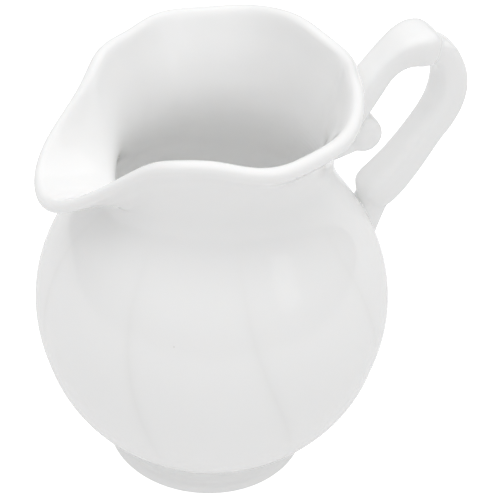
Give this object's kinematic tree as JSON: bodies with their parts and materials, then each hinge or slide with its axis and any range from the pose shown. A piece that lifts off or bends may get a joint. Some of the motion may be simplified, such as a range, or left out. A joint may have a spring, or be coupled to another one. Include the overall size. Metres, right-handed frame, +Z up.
{
  "type": "milk jug",
  "caption": "Small white porcelain milk jug: round belly on a foot ring, wavy flared rim with a drooping pouring lip, scroll handle.",
  "frame": {"origin": "on the resting plane of the foot ring, under the middle of the bounding box in X and Y; the belly's axis is at x = -0.0098 m", "axes": "+Z up along the belly's axis, +X from the belly towards the handle, -X towards the pouring lip; the jug is symmetric about y = 0"},
  "size_m": [0.1116, 0.092, 0.1182],
  "materials": {
    "glazed_porcelain": "clear gloss glaze"
  },
  "bodies": {
    "root": {"jug": "glazed_porcelain"}
  },
  "joints": []
}
